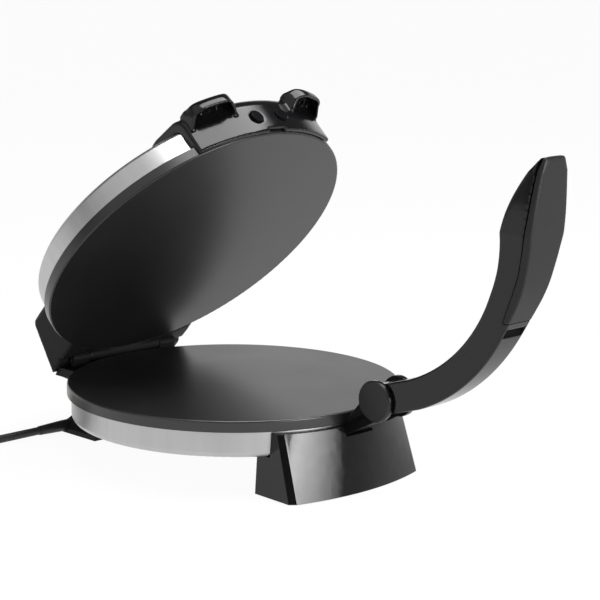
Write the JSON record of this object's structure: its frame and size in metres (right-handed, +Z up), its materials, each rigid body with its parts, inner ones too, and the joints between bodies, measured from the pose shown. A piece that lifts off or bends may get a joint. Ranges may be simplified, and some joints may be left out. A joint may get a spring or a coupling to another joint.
{
  "type": "electric flatbread maker",
  "caption": "Round hinged flatbread maker with flat heated plates in steel shells, black feet and a curved lever that folds over the shutting lid to press the dough.",
  "frame": {"origin": "on the counter, below the middle of the appliance without its lead", "axes": "+Z up, +Y from the lever towards the lid hinge, +X to the right seen from the lever"},
  "size_m": [0.3257, 0.541, 0.2876],
  "materials": {
    "nonstick": "dark satin non-stick coat on a cast plate",
    "band_steel": "brushed sheet",
    "element_steel": "dull tube",
    "reflector_sheet": "bright sheet",
    "fastener": "zinc plated",
    "thermostat": "pale moulding",
    "gloss_black": "high gloss",
    "matte_black": "satin",
    "grip_black": "fine matte texture",
    "soft_rubber": "matte",
    "pin_steel": "ground",
    "brass_bush": "machined",
    "dark_lens": "polished, unlit",
    "board": "solder mask",
    "terminal_white": "plain",
    "cord_black": "smooth jacket",
    "tie_black": "plain",
    "blade_brass": "bright"
  },
  "bodies": {
    "base": {"lower_plate": "nonstick", "base_shell": "band_steel", "lower_element": "element_steel", "lower_reflector": "reflector_sheet", "lower_plate_screws": "fastener", "shell_screws": "fastener", "lower_thermostat": "thermostat", "front_pedestal": "gloss_black", "front_cover": "matte_black", "rear_pedestal": "gloss_black", "rear_cover": "matte_black", "rubber_feet": "soft_rubber", "lever_yoke": "gloss_black", "lever_pin": "pin_steel", "pivot_cap_left": "matte_black", "pivot_cap_right": "matte_black", "hinge_pin": "pin_steel", "terminal_block": "terminal_white", "strain_relief": "soft_rubber", "power_cord": "cord_black", "cord_coil": "cord_black", "cord_tail": "cord_black", "cord_tie": "tie_black", "plug_body": "cord_black", "plug_blades": "blade_brass"},
    "lid": {"lid_shell": "band_steel", "upper_plate": "nonstick", "upper_element": "element_steel", "upper_reflector": "reflector_sheet", "upper_thermostat": "thermostat", "lid_screws": "fastener", "front_housing": "gloss_black", "power_lens": "dark_lens", "ready_lens": "dark_lens", "lamp_board": "board", "rear_housing": "gloss_black"},
    "lever": {"lever_arm": "gloss_black", "grip_cover": "grip_black", "lever_bush": "brass_bush"}
  },
  "joints": [
    {"name": "lid_hinge", "type": "hinge", "parent": "base", "child": "lid", "pos_m": [0, 0.2023, 0.0611], "axis": [1, 0, 0], "range_deg": [0, 47.26]},
    {"name": "lever_pivot", "type": "hinge", "parent": "base", "child": "lever", "pos_m": [0, -0.0951, 0.0737], "axis": [-1, 0, 0], "range_deg": [0, 102]}
  ],
  "couplings": [
    {"joint": "lever_pivot", "follows": "lid_hinge", "ratio": 2.1583}
  ]
}
